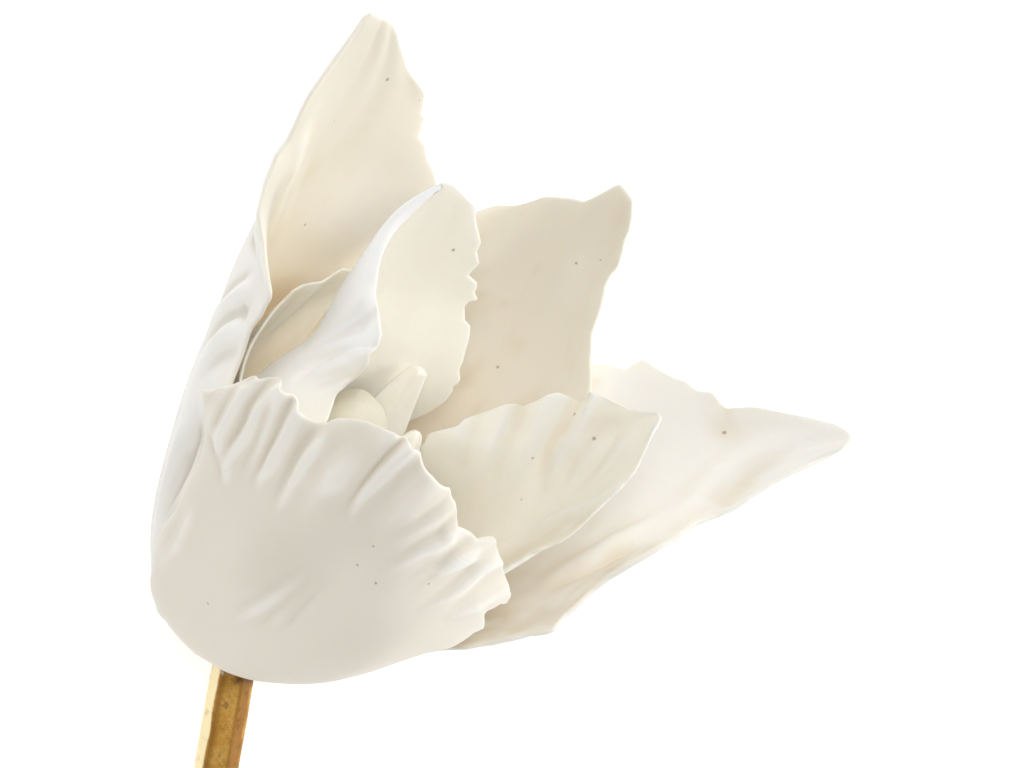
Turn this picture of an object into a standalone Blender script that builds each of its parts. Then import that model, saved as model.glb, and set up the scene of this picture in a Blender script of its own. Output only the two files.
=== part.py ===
"""A porcelain tulip bloom on a gilded rod, lying on its side.

Petal points are in millimetres in the bloom's own frame: right, back, up along the bloom's axis.
The bloom then leans over and turns, so that it lies as it is photographed from above.
"""

import math

import bmesh
import bpy
from mathutils import Matrix, Vector

MM = 0.001

# How the bloom and its rod lie
BLOOM_LEAN = 60.0
BLOOM_TURN = 28.0
STEM_LENGTH = 135.0
STEM_WIDTH = 5.2
STEM_TURN = 10.0
STEM_SLOPE = 3.7
SOCKET_DEPTH = 12.0

# Porcelain and gilding
IVORY = (0.86, 0.83, 0.77)
CREAM = (0.87, 0.83, 0.74)
GOLD = (0.72, 0.5, 0.2)
PETAL_THICKNESS = 1.1
CALM_WIDTH = 14.0
GAP = 0.3
RECEPTACLE_RADIUS = 7.0
RECEPTACLE_TOP = 3.0
RECEPTACLE_BOTTOM = -2.2

PETALS = {
    "outer_petal_front": {
        "left": [
            (-3.7, -6, -1.2), (-8, -7.2, 1.5), (-11.8, -8.3, 6), (-13.3, -10, 13),
            (-14.1, -12, 20.5), (-14, -14, 28.7), (-17, -15, 37),
        ],
        "rib": [
            (0.8, -6.7, -1.6), (2.2, -10.2, 1.4), (5.5, -15, 8), (8, -20.5, 19), (9.5, -24, 34),
            (8.5, -24, 50.5),
        ],
        "right": [
            (4.6, -4.6, -2), (9.5, -7, 2), (15.8, -8.6, 9.7), (22, -8.5, 16), (25.5, -8.5, 22.5),
            (25.5, -9.5, 30.5),
        ],
        "fold": 2.0, "rows": 22, "columns": 20,
        "ridges": 8.5, "ridge_depth": 0.35, "waves": 2.5, "wave_depth": 0.5, "ragged": 0.035, "phase": 0.4,
    },
    "outer_petal_right": {
        "left": [
            (2.8, 5.8, -2.8), (5.5, 10.5, 1), (8.5, 16, 8.5), (12, 21, 17), (18, 27.5, 27.5),
            (25, 33.5, 38.5), (36, 33, 41.5), (52.5, 30, 47.2),
        ],
        "rib": [
            (5.4, 3.8, -3), (10, 6, 0.8), (15.5, 9.5, 7.5), (22, 14, 14), (28, 18, 22),
            (34, 22, 30), (42, 25, 38), (54.5, 28, 48.5),
        ],
        "right": [
            (6.5, 0.4, -2.8), (11.5, 0, 2), (18, -2.5, 9.5), (25, -4.5, 16), (33, -4, 22),
            (38, 4, 31.5), (45, 16, 40.5), (53.5, 26, 47.2),
        ],
        "fold": 1.2, "rows": 24, "columns": 14,
        "ridges": 3.5, "ridge_depth": 0.35, "waves": 4.0, "wave_depth": 0.7, "ragged": 0.03, "phase": 1.3,
    },
    "outer_petal_back_left": {
        "left": [
            (-6.4, -0.8, -2.8), (-9.8, -4.8, 1), (-11, -8.5, 10), (-10.8, -11.2, 22),
            (-13.6, -13.5, 35), (-15.8, -10.5, 50), (-22, 2, 58), (-21, 19, 72.5),
        ],
        "rib": [
            (-6.4, 1.8, -3), (-11, 2.5, 0.8), (-15.4, 4, 10), (-18.8, 7, 24), (-19.7, 9.5, 38),
            (-19.5, 12.5, 50), (-18.3, 17.5, 62), (-19, 21, 73.5),
        ],
        "right": [
            (-4.8, 4.8, -2.8), (-8, 9.5, 1), (-10, 16, 9), (-10, 25, 22), (-7.5, 31.2, 35),
            (-4.5, 32, 49), (-10.5, 30, 60), (-17.2, 23, 73),
        ],
        "fold": 2.0, "rows": 24, "columns": 14,
        "ridges": 3.0, "ridge_depth": 0.35, "waves": 4.5, "wave_depth": 0.6, "ragged": 0.03, "phase": 2.2,
    },
    "inner_petal_back": {
        "left": [
            (-3, 6, 2.4), (-6.5, 10.5, 10), (-8, 17.5, 20), (-8, 23, 32), (-4, 28.5, 42),
            (1.5, 33, 48.5),
        ],
        "rib": [
            (0.5, 6.9, 2.2), (2, 13, 10), (4, 19.5, 21), (6, 25, 34), (8, 28.5, 46),
            (9.5, 31, 58.5),
        ],
        "right": [
            (3.6, 5.8, 2.4), (11, 13, 11), (18.5, 19, 22), (23.5, 24, 35), (21, 27.5, 49),
            (17.5, 29, 62.5),
        ],
        "fold": 2.0, "rows": 18, "columns": 12,
        "ridges": 3.0, "ridge_depth": 0.3, "waves": 3.5, "wave_depth": 0.5, "ragged": 0.03, "phase": 0.9,
    },
    "inner_petal_right": {
        "left": [
            (5, 4.4, 2.4), (8.5, 7.5, 11), (10.5, 8, 22), (9.3, 4.5, 33), (15, 9, 39.3),
            (23, 12, 44.8), (31.5, 7, 50.5),
        ],
        "rib": [
            (6.8, 0.8, 2.2), (13, 1.5, 11), (19.5, 3, 21), (24, 4, 30), (27, 5, 38),
            (30, 5.5, 45.5), (32.5, 6, 51),
        ],
        "right": [
            (6.2, -2.6, 2.4), (13, -6, 12), (20, -8, 22), (25, -7, 31), (29, -5.5, 37.5),
            (32.3, -1.5, 45), (32.3, 4.5, 50.5),
        ],
        "fold": 2.0, "rows": 18, "columns": 14,
        "ridges": 5.5, "ridge_depth": 0.4, "waves": 3.0, "wave_depth": 0.4, "ragged": 0.03, "phase": 2.8,
    },
    "inner_petal_left": {
        "left": [
            (-2.4, -6.4, 2.4), (-4.5, -9.5, 12), (-3, -12, 24), (-3, -15, 36), (-2, -14.5, 46),
            (-1.5, -12, 54), (-5, -1, 59.5), (-3, 4.5, 66),
        ],
        "rib": [
            (-6.2, -3, 2.2), (-8.5, -4, 12), (-9.8, -4.8, 24), (-11, -5, 36), (-7.3, -4.5, 45),
            (-7, -2, 52.5), (-5.3, 2, 61), (-2, 5, 66.5),
        ],
        "right": [
            (-6.6, 2, 2.4), (-7.5, 7.5, 12), (-3, 11.5, 22.5), (7, 10.5, 32.5), (8.8, 11, 41),
            (6.4, 11, 49), (4, 9, 58), (0.5, 6.5, 65.3),
        ],
        "fold": 1.0, "rows": 22, "columns": 12,
        "ridges": 5.0, "ridge_depth": 0.35, "waves": 5.0, "wave_depth": 0.4, "ragged": 0.04, "phase": 0.0,
    },
    "inner_petal_small": {
        "left": [
            (-8, -2.4, 1.4), (-11, -5, 12), (-11.4, -6.4, 22), (-12.7, -8.4, 30), (-13.3, -9.3, 37.3),
        ],
        "rib": [
            (-8.6, 0.8, 1.2), (-13.2, 2, 11), (-16, 2.5, 22), (-16, 2, 34), (-13.5, -1, 44.8),
        ],
        "right": [
            (-7.6, 4, 1.4), (-10.8, 8.6, 11), (-11, 13, 22), (-9, 14.5, 35), (-6.8, 11, 47),
        ],
        "fold": 2.0, "rows": 14, "columns": 10,
        "ridges": 2.5, "ridge_depth": 0.25, "waves": 2.0, "wave_depth": 0.2, "ragged": 0.03, "phase": 1.7,
    },
}

# Each stamen: azimuth from the front towards the right, height of its top, lean outwards
STAMENS = [
    (78, 38.0, 4.0), (130, 41.5, 2.8), (182, 28.5, 1.0), (236, 25.0, 0.6), (290, 29.0, 1.2), (340, 32.0, 2.0),
]
STAMEN_FOOT_RADIUS = 4.0
ANTHER_LENGTH = 12.0
ANTHER_WIDTH = 3.7
ANTHER_DEPTH = 2.4
FILAMENT_WIDTH = 1.8

PISTIL_HEIGHT = 38.5
PISTIL_RADIUS = 2.4
PISTIL_LEAN = (0.6, -1.2)
STIGMA_RADIUS = 3.7


def clear_scene():
    for item in list(bpy.data.objects):
        bpy.data.objects.remove(item)


def new_collection(name, hidden=False):
    collection = bpy.data.collections.new(name)
    bpy.context.scene.collection.children.link(collection)
    collection.hide_render = hidden
    return collection


def new_material(name, color, metallic, roughness):
    material = bpy.data.materials.new(name)
    material.use_nodes = True
    shader = material.node_tree.nodes["Principled BSDF"]
    shader.inputs["Base Color"].default_value = (*color, 1)
    shader.inputs["Metallic"].default_value = metallic
    shader.inputs["Roughness"].default_value = roughness
    return material


def porcelain(name):
    tint = CREAM if name.startswith(("inner", "pistil", "stamen")) else IVORY
    return new_material(f"{name}_porcelain", tint, 0.0, 0.6)


def new_object(name, mesh_builder, material, collection, parent):
    mesh = bpy.data.meshes.new(name)
    bmesh.ops.recalc_face_normals(mesh_builder, faces=mesh_builder.faces)
    mesh_builder.to_mesh(mesh)
    mesh_builder.free()
    mesh.materials.append(material)
    made = bpy.data.objects.new(name, mesh)
    made.parent = parent
    collection.objects.link(made)
    return made


def along(rail, u):
    """Point of the smooth curve through a rail's points, u running from 0 at the claw to 1 at the top."""
    last = len(rail) - 1
    i = min(int(u * last), last - 1)
    t = u * last - i
    start = rail[i]
    end = rail[i + 1]
    before = rail[i - 1] if i > 0 else 2 * start - end
    after = rail[i + 2] if i + 2 <= last else 2 * end - start
    bend = 2 * before - 5 * start + 4 * end - after
    twist = 3 * start - before - 3 * end + after
    return start + 0.5 * t * ((end - before) + t * (bend + t * twist))


def petal_surface(shape, u, v):
    """Point of the smooth petal, v running from -1 at the left margin over 0 at the rib to 1 at the right."""
    left = along(shape["left"], u)
    rib = along(shape["rib"], u)
    right = along(shape["right"], u)
    fold = shape["fold"]
    bend = (math.hypot(v, fold) - fold) / (math.hypot(1, fold) - fold)
    return rib + v * (right - left) / 2 + bend * ((left + right) / 2 - rib)


def petal_point(shape, u, v):
    """Point of the finished petal: the smooth one, with its ragged margin, fan ridges and waves."""
    phase = shape["phase"]
    ragged = shape["ragged"]
    top_width = (shape["right"][-1] - shape["left"][-1]).length
    teeth_top = 0.5 + 0.3 * math.sin(9 * v + phase) + 0.2 * math.sin(23 * v + 2 * phase)
    teeth_side = 0.5 + 0.3 * math.sin(17 * u + phase) + 0.2 * math.sin(41 * u + phase)
    u_cut = u * (1 - ragged * teeth_top * min(1, top_width / CALM_WIDTH))
    v_cut = v * (1 - ragged * teeth_side * min(1, 3 * u))
    point = petal_surface(shape, u_cut, v_cut)
    step = 0.01
    across = petal_surface(shape, u_cut, v_cut + step) - petal_surface(shape, u_cut, v_cut - step)
    upward = petal_surface(shape, u_cut + step, v_cut) - petal_surface(shape, max(0, u_cut - step), v_cut)
    normal = across.cross(upward).normalized()
    calm = min(1, (along(shape["right"], u_cut) - along(shape["left"], u_cut)).length / CALM_WIDTH)
    fan = math.sin(math.pi * shape["ridges"] * v + phase) * u ** 2
    wave = math.sin(2 * math.pi * shape["waves"] * u + phase) * abs(v) ** 3 * u
    return point + normal * calm * (shape["ridge_depth"] * fan + shape["wave_depth"] * wave)


def make_petal(name, numbers, collection, parent):
    shape = dict(numbers)
    for rail in ("left", "rib", "right"):
        shape[rail] = [Vector(point) for point in numbers[rail]]
    builder = bmesh.new()
    bmesh.ops.create_grid(builder, x_segments=shape["columns"], y_segments=shape["rows"], size=1)
    for vertex in builder.verts:
        vertex.co = petal_point(shape, (vertex.co.y + 1) / 2, vertex.co.x) * MM
    bmesh.ops.triangulate(builder, faces=builder.faces)
    petal = new_object(name, builder, porcelain(name), collection, parent)
    solidify = petal.modifiers.new("Thickness", "SOLIDIFY")
    solidify.thickness = PETAL_THICKNESS * MM
    solidify.offset = 0
    solidify.use_even_offset = False
    return petal


def turned_body(segments, rings, profile):
    """Closed body from a sphere: profile(share, azimuth) gives radius and height, share from foot to top."""
    builder = bmesh.new()
    bmesh.ops.create_uvsphere(builder, u_segments=segments, v_segments=rings, radius=1)
    for vertex in builder.verts:
        share = math.acos(max(-1, min(1, -vertex.co.z))) / math.pi
        azimuth = math.atan2(vertex.co.y, vertex.co.x)
        radius, height = profile(share, azimuth)
        pole = math.hypot(vertex.co.x, vertex.co.y) < 1e-4
        radius = 0 if pole else radius
        vertex.co = Vector((radius * math.cos(azimuth), radius * math.sin(azimuth), height)) * MM
    return builder


def make_receptacle(collection, parent, cutters):
    middle = (RECEPTACLE_TOP + RECEPTACLE_BOTTOM) / 2
    half = (RECEPTACLE_TOP - RECEPTACLE_BOTTOM) / 2

    def profile(share, azimuth):
        angle = math.pi * share
        return RECEPTACLE_RADIUS * math.sin(angle) ** 0.7, middle - half * math.cos(angle)

    boss = new_object("receptacle", turned_body(32, 12, profile), porcelain("receptacle"), collection, parent)
    socket = bmesh.new()
    radius = (STEM_WIDTH / 2 + GAP) * MM
    bmesh.ops.create_cone(
        socket, cap_ends=True, segments=24, depth=SOCKET_DEPTH * MM, radius1=radius, radius2=radius,
    )
    bmesh.ops.translate(socket, verts=socket.verts, vec=(0, 0, (GAP - SOCKET_DEPTH / 2) * MM))
    cutter = new_object("stem_socket", socket, porcelain("stem_socket"), cutters, None)
    cutter.hide_render = True
    cutter.display_type = "WIRE"
    cut = boss.modifiers.new("Socket", "BOOLEAN")
    cut.solver = "EXACT"
    cut.object = cutter
    return boss, cutter


def make_pistil(collection, parent):
    foot = RECEPTACLE_TOP + GAP

    def profile(share, azimuth):
        height = foot + (PISTIL_HEIGHT - foot) * (1 - math.cos(math.pi * share)) / 2
        column = PISTIL_RADIUS * min(1, 6 * math.sin(math.pi * share))
        head = max(0, 1 - ((height - PISTIL_HEIGHT + 3.6) / 3.8) ** 2) ** 0.5
        lobes = 1 + 0.16 * math.cos(3 * azimuth)
        return max(column if share < 0.8 else 0, STIGMA_RADIUS * head * lobes), height

    builder = turned_body(24, 18, profile)
    for vertex in builder.verts:
        rise = (vertex.co.z / MM - foot) / (PISTIL_HEIGHT - foot)
        vertex.co += Vector((*PISTIL_LEAN, 0)) * MM * rise
    return new_object("pistil", builder, porcelain("pistil"), collection, parent)


def make_stamen(name, azimuth, top, lean, collection, parent):
    foot = RECEPTACLE_TOP + GAP + 0.6
    turn = Matrix.Rotation(math.radians(azimuth), 3, "Z")

    def profile(share, around):
        height = foot + (top - foot) * (1 - math.cos(math.pi * share)) / 2
        filament = FILAMENT_WIDTH / 2 * min(1, 4 * math.sin(math.pi * share))
        middle = top - ANTHER_LENGTH / 2
        swell = max(0, 1 - ((height - middle) / (ANTHER_LENGTH / 2)) ** 2) ** 0.5
        wide = ANTHER_WIDTH / 2 * abs(math.cos(around)) + ANTHER_DEPTH / 2 * abs(math.sin(around))
        return max(filament if height < middle else 0, wide * swell), height

    builder = turned_body(12, 14, profile)
    for vertex in builder.verts:
        rise = (vertex.co.z / MM - foot) / (top - foot)
        out = Vector((0, -(STAMEN_FOOT_RADIUS + lean * rise), 0)) * MM
        vertex.co = turn @ (vertex.co + out)
    return new_object(name, builder, porcelain(name), collection, parent)


def make_stem(collection, parent):
    builder = bmesh.new()
    width = STEM_WIDTH / 2 * MM
    bmesh.ops.create_cone(
        builder, cap_ends=True, segments=6, radius1=width, radius2=width, depth=STEM_LENGTH * MM,
    )
    corners = [edge for edge in builder.edges if abs(edge.verts[0].co.z - edge.verts[1].co.z) > MM]
    bmesh.ops.bevel(builder, geom=corners, offset=0.5 * MM, segments=2, profile=0.5, affect="EDGES")
    rims = [edge for edge in builder.edges if edge.calc_face_angle() > 1.2]
    bmesh.ops.bevel(builder, geom=rims, offset=0.3 * MM, segments=1, profile=0.5, affect="EDGES")
    bmesh.ops.translate(builder, verts=builder.verts, vec=(0, 0, -STEM_LENGTH * MM / 2))
    bmesh.ops.rotate(builder, verts=builder.verts, matrix=Matrix.Rotation(math.radians(30), 3, "Z"))
    return new_object("stem", builder, new_material("gilded_metal", GOLD, 1.0, 0.35), collection, parent)


def stand_on_ground(root, pieces):
    """Moves the root: the lowest point comes to the ground, the middle of the box above the origin."""
    bpy.context.view_layer.update()
    graph = bpy.context.evaluated_depsgraph_get()
    corners = []
    for piece in pieces:
        evaluated = piece.evaluated_get(graph)
        corners += [evaluated.matrix_world @ vertex.co for vertex in evaluated.data.vertices]
    low = Vector([min(corner[axis] for corner in corners) for axis in range(3)])
    high = Vector([max(corner[axis] for corner in corners) for axis in range(3)])
    root.location -= Vector(((low.x + high.x) / 2, (low.y + high.y) / 2, low.z))


def main():
    clear_scene()
    flower = new_collection("porcelain_tulip")
    cutters = new_collection("cutters", hidden=True)
    root = bpy.data.objects.new("tulip_frame", None)
    flower.objects.link(root)
    bloom = bpy.data.objects.new("bloom_axis", None)
    bloom.parent = root
    bloom.rotation_euler = (math.radians(-BLOOM_LEAN), 0, math.radians(-BLOOM_TURN))
    flower.objects.link(bloom)
    pieces = []
    for name, numbers in PETALS.items():
        pieces.append(make_petal(name, numbers, flower, bloom))
    boss, socket = make_receptacle(flower, bloom, cutters)
    pieces.append(boss)
    pieces.append(make_pistil(flower, bloom))
    for number, (azimuth, top, lean) in enumerate(STAMENS):
        pieces.append(make_stamen(f"stamen_{number + 1}", azimuth, top, lean, flower, bloom))
    rod_axis = bpy.data.objects.new("stem_axis", None)
    rod_axis.parent = root
    rod_axis.rotation_euler = (math.radians(-90 + STEM_SLOPE), 0, math.radians(-STEM_TURN))
    flower.objects.link(rod_axis)
    pieces.append(make_stem(flower, rod_axis))
    socket.parent = rod_axis
    stand_on_ground(root, pieces)


main()
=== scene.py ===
import math

import bmesh
import bpy
import numpy as np
from mathutils import Matrix, Vector
from mathutils.bvhtree import BVHTree


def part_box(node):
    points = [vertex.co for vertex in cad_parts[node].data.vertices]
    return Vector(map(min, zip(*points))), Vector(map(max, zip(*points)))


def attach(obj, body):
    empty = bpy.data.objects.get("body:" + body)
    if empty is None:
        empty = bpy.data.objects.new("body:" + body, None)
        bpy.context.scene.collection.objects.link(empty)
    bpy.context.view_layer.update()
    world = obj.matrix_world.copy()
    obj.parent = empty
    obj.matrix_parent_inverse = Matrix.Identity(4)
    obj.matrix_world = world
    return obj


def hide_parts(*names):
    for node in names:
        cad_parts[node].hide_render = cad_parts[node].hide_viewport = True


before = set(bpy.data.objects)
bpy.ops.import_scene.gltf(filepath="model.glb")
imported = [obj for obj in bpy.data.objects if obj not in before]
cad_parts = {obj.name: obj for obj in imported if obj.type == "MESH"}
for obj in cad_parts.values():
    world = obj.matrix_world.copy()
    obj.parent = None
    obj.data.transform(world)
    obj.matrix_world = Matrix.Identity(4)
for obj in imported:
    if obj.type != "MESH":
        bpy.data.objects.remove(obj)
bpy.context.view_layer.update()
print("frame loaded with", len(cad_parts), "nodes")

mm = 0.001

# How the flower lies, as its solids do: the bloom leans over, the rod runs down to the left
lie = {
    "bloomLean": 60,
    "bloomTurn": 28,
    "stemTurn": 10,
    "stemSlope": 3.7,
    "stemLength": 135,
}


def turned(x, z):
    return Matrix.Rotation(math.radians(z), 4, "Z") @ Matrix.Rotation(math.radians(x), 4, "X")


# The rod's box is centred on the rod, so it tells where the bloom starts
stemLow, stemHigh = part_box("stem")
stemTurned = turned(-90 + lie["stemSlope"], -lie["stemTurn"])
bloomFoot = (stemLow + stemHigh) / 2 + stemTurned @ Vector((0, 0, lie["stemLength"] * mm / 2))
bloomPlace = Matrix.Translation(bloomFoot) @ turned(-lie["bloomLean"], -lie["bloomTurn"])
stemPlace = Matrix.Translation(bloomFoot) @ stemTurned
print("bloom starts at", [round(value / mm, 2) for value in bloomFoot], "mm")


# Shader maths

class Wire:
    # Wraps one node socket, so that shader maths reads as plain sums
    def __init__(self, tree, socket=None):
        self.tree = tree
        self.socket = socket

    def node(self, kind, settings, sockets, output=0):
        made = self.tree.nodes.new(kind)
        for key, value in settings.items():
            setattr(made, key, value)
        for key, value in sockets.items():
            if isinstance(value, Wire):
                self.tree.links.new(value.socket, made.inputs[key])
            else:
                made.inputs[key].default_value = value
        return Wire(self.tree, made.outputs[output])

    def maths(self, operation, first, second):
        return self.node("ShaderNodeMath", {"operation": operation}, {0: first, 1: second})

    def __add__(self, other):
        return self.maths("ADD", self, other)

    def __radd__(self, other):
        return self.maths("ADD", other, self)

    def __sub__(self, other):
        return self.maths("SUBTRACT", self, other)

    def __rsub__(self, other):
        return self.maths("SUBTRACT", other, self)

    def __mul__(self, other):
        return self.maths("MULTIPLY", self, other)

    def __rmul__(self, other):
        return self.maths("MULTIPLY", other, self)

    def most(self, other):
        return self.maths("MAXIMUM", self, other)

    def rise(self, low, high):
        # 0 below low, 1 above high, smooth between them
        return self.node(
            "ShaderNodeMapRange", {"interpolation_type": "SMOOTHSTEP"},
            {"Value": self, "From Min": low, "From Max": high})

    def blend(self, first, second):
        # Sockets 6 and 7 and output 2 are the ones that carry colours
        return self.node("ShaderNodeMix", {"data_type": "RGBA"}, {0: self, 6: first, 7: second}, 2)

    def noise(self, scale, detail=2.0, roughness=0.5):
        sockets = {"Vector": self, "Scale": scale, "Detail": detail, "Roughness": roughness}
        return self.node("ShaderNodeTexNoise", {}, sockets)

    def part(self, index):
        return self.node("ShaderNodeSeparateXYZ", {}, {"Vector": self}, index)

    def objectPlace(self):
        return self.node("ShaderNodeTexCoord", {}, {}, 3)

    def vectorField(self, name):
        return self.node("ShaderNodeAttribute", {"attribute_name": name}, {}, 1)

    def field(self, name):
        return self.node("ShaderNodeAttribute", {"attribute_name": name}, {}, 2)


def startMaterial(name):
    material = bpy.data.materials.new(name)
    material.use_nodes = True
    tree = material.node_tree
    return material, tree.nodes["Principled BSDF"], Wire(tree)


def feed(shader, socket, wire):
    wire.tree.links.new(wire.socket, shader.inputs[socket])


def setSockets(shader, values):
    for socket, value in values.items():
        shader.inputs[socket].default_value = value


def roughen(shader, relief, strength):
    # Relief is in mm
    feed(shader, "Normal", relief.node("ShaderNodeBump", {}, {
        "Strength": strength, "Distance": 1.0 * mm, "Height": relief}))


# Porcelain: each tone, how much of it shows, and between which values of its field it fades in

clay = {
    "insideFade": (0.2, 0.8),
    # Painted shade: warm tan where petals close over a face and where the tan wash lies, darkest tan where
    # they close it most
    "paintedShadeTan": (0.76, 0.64, 0.45, 1), "paintedShadeFade": (0.45, 1.0), "paintedShadeOutside": 0.35, "paintedShadeInside": 0.65,
    "paintedShadeLeast": 0.8, "paintedShadeCloud": 0.3,
    "darkestPaintedShade": (0.50, 0.34, 0.17, 1), "darkestShadeFromWash": 0.75, "tanFade": (0.55, 1.0),
    "darkestShadeFromShelter": 0.5, "shelterFade": (0.8, 1.0),
    # The margin tone is also the painted light of the white wash
    "margin": (0.95, 0.92, 0.84, 1), "marginShare": 0.5, "marginFade": (0.1, 1.0),
    "cloud": (0.95, 0.93, 0.88, 1), "cloudShare": 0.12, "cloudFade": (0.5, 0.75),
    # Painted highlight on pleat crests and painted shade in their valleys; the valley tone is also the
    # painted shade of the grey wash
    "crest": (0.97, 0.955, 0.90, 1), "crestHighlightShare": 0.65,
    "valleyShade": (0.60, 0.54, 0.43, 1), "valleyShadeShare": 0.5,
    "furrow": (0.80, 0.71, 0.55, 1),
    "speck": (0.30, 0.17, 0.09, 1), "speckShare": 0.62, "speckCore": 0.02, "speckEdge": 0.24,
    "speckNoise": (3000, 2), "speckWobble": 0.25,
    "cloudNoise": (90, 3, 0.55),
    "roughness": 0.5, "roughnessSpread": 0.16,
    "bump": 0.5, "fineNoise": (900, 3, 0.6), "fineHeight": 0.02,
    "sockets": {
        "Specular IOR Level": 0.35, "Subsurface Weight": 0.22, "Subsurface Radius": (1.0, 0.72, 0.42),
        "Subsurface Scale": 0.8 * mm,
    },
}
petalGrain = {"roughNoise": (260, 3), "softNoise": (170, 2), "softHeight": 0.12}
heartGrain = {"roughNoise": (300, 3), "softNoise": (300, 2), "softHeight": 0.08}


def bisque(shader, place, color, grain):
    # Unglazed: little shine, a fine and a soft grain, and light that spreads under the surface
    feed(shader, "Base Color", color)
    rough = place.noise(*grain["roughNoise"]) * clay["roughnessSpread"] + clay["roughness"]
    feed(shader, "Roughness", rough)
    fine = place.noise(*clay["fineNoise"])
    soft = place.noise(*grain["softNoise"])
    roughen(shader, fine * clay["fineHeight"] + soft * grain["softHeight"], clay["bump"])
    setSockets(shader, clay["sockets"])


def porcelain(name, look, specks):
    # Outside ivory, inside cream, paler margins and small brown specks; over these, painted warm shade where
    # petals close over a face, painted light and shade in washed patches, and painted highlights on crests
    # with painted shade in valleys
    material, shader, wire = startMaterial(name)
    place = wire.objectPlace()
    inside = wire.field("inside").rise(*clay["insideFade"])
    margin = wire.field("margin")
    cloud = place.noise(*clay["cloudNoise"])
    shelter = wire.field("shelter")
    tan = wire.field("tan")
    crest = wire.field("crest")
    # Each petal's outside and inside tones are set one by one: partly the clay's own tone and partly painted
    # light and shade, paler where a face should be lit more, as on the folded petal's outside, and darker
    # where it should lie in more shade
    color = inside.blend(look["outsideTone"], look["insideTone"])
    # Painted warm shade where other petals close over a face and where the tan wash lies, stronger inside
    # than outside
    paintedShade = shelter.rise(*clay["paintedShadeFade"]) * look["paintedShadeShare"]
    paintedShade = (paintedShade * (clay["paintedShadeOutside"] + clay["paintedShadeInside"] * inside)).most(tan * inside)
    color = (paintedShade * (clay["paintedShadeLeast"] + clay["paintedShadeCloud"] * cloud)).blend(color, clay["paintedShadeTan"])
    # Painted shade: darkest tan where the tan wash is strongest
    color = (tan.rise(*clay["tanFade"]) * inside * clay["darkestShadeFromWash"]).blend(color, clay["darkestPaintedShade"])
    # Painted light: the white wash lifts inside faces to the pale margin tone
    color = (wire.field("white") * inside).blend(color, clay["margin"])
    # Painted shade: the grey wash darkens outside faces towards the valley tone, as in creases
    color = (wire.field("grey") * (1 - inside)).blend(color, clay["valleyShade"])
    # Painted shade: darkest tan where petals close over an inside face most
    closed = shelter.rise(*clay["shelterFade"]) * inside * look["paintedShadeShare"]
    color = (closed * clay["darkestShadeFromShelter"]).blend(color, clay["darkestPaintedShade"])
    rim = margin.rise(*clay["marginFade"]) * look.get("rimShare", clay["marginShare"])
    color = rim.blend(color, clay["margin"])
    color = (cloud.rise(*clay["cloudFade"]) * clay["cloudShare"]).blend(color, clay["cloud"])
    # Painted highlight on pleat crests and painted shade in their valleys
    color = (crest.rise(0, 1) * clay["crestHighlightShare"]).blend(color, clay["crest"])
    valleyShade = (0 - crest).rise(0, 1) * clay["valleyShadeShare"] * look.get("valleyShadeScale", 1.0)
    color = valleyShade.blend(color, inside.blend(clay["valleyShade"], clay["furrow"]))
    dots = None
    for spot, size in specks:
        away = wire.node("ShaderNodeVectorMath", {"operation": "DISTANCE"}, {0: place, 1: spot}, 1)
        wobble = away + place.noise(*clay["speckNoise"]) * (clay["speckWobble"] * mm)
        dot = 1 - wobble.rise((size + clay["speckCore"]) * mm, (size + clay["speckEdge"]) * mm)
        dots = dot if dots is None else dots.most(dot)
    if dots is not None:
        color = (dots * clay["speckShare"]).blend(color, clay["speck"])
    bisque(shader, place, color, petalGrain)
    return material


# Petals: lengths are in mm, and up and across are shares of the petal, 0 to 1 and -1 to 1

tear = {
    # Length and depth of each kind of tear; chips show where their random line passes chipStart
    "bay": 9, "bayDepth": 0.35, "notch": 3.2, "notchDepth": 0.30, "chip": 1.3, "chipDepth": 0.9,
    "chipStart": 0.25, "cluster": 8, "clusterShift": 0.35,
}
sheet = {
    "normalStep": 0.004, "normalRounds": 6,
    # How far up a cut may reach, and how fast it dies away from its margin
    "upLimit": 1.08, "cutPower": 3,
    # Cuts, ruffles and dents grow from nothing at the foot, at these rates
    "cutGrowth": 3, "ruffleGrowth": 2, "dentGrowth": 4,
    "topSlack": 1.2, "sideSlack": 3,
    # Below these widths, chips, ruffles and all relief are held back
    "chipWidth": 8, "ruffleWidth": 20, "calmWidth": 14,
    "sideRufflePower": 4, "topRufflePower": 8,
    "dentWaves": (6, 5), "slantWaves": (5, 9), "slantShare": 0.6,
    "washPower": 2.5,
    # Even and crowded shares of the grid's spacing
    "even": 0.45, "crowded": 0.55,
    "footMargin": 0.3, "thinReach": 2.5, "roundReach": 0.6, "edgeLeast": 0.25, "edgeMore": 0.75,
    "marginReach": 1.2, "crestRounds": 60, "crestHeight": 0.3,
}
pleat = {
    "samples": 70, "runOn": 15,
    "fadeRate": 1.8, "fadePower": 1.1,
    # A crest that starts inside these starts low, and rises at this rate
    "insideUp": 0.96, "insideAcross": 0.93, "startHeight": 0.15, "startRate": 4,
    "startBreadth": 1.25, "breadthLoss": 0.5,
    # Crests narrower than this lean
    "leanBelow": 1.4, "steepBreadth": 0.75, "gentleBreadth": 1.3, "leanPower": 1.3,
    "furrowDepth": 0.35, "furrowAway": 1.5, "furrowBreadth": 0.7,
}


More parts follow.
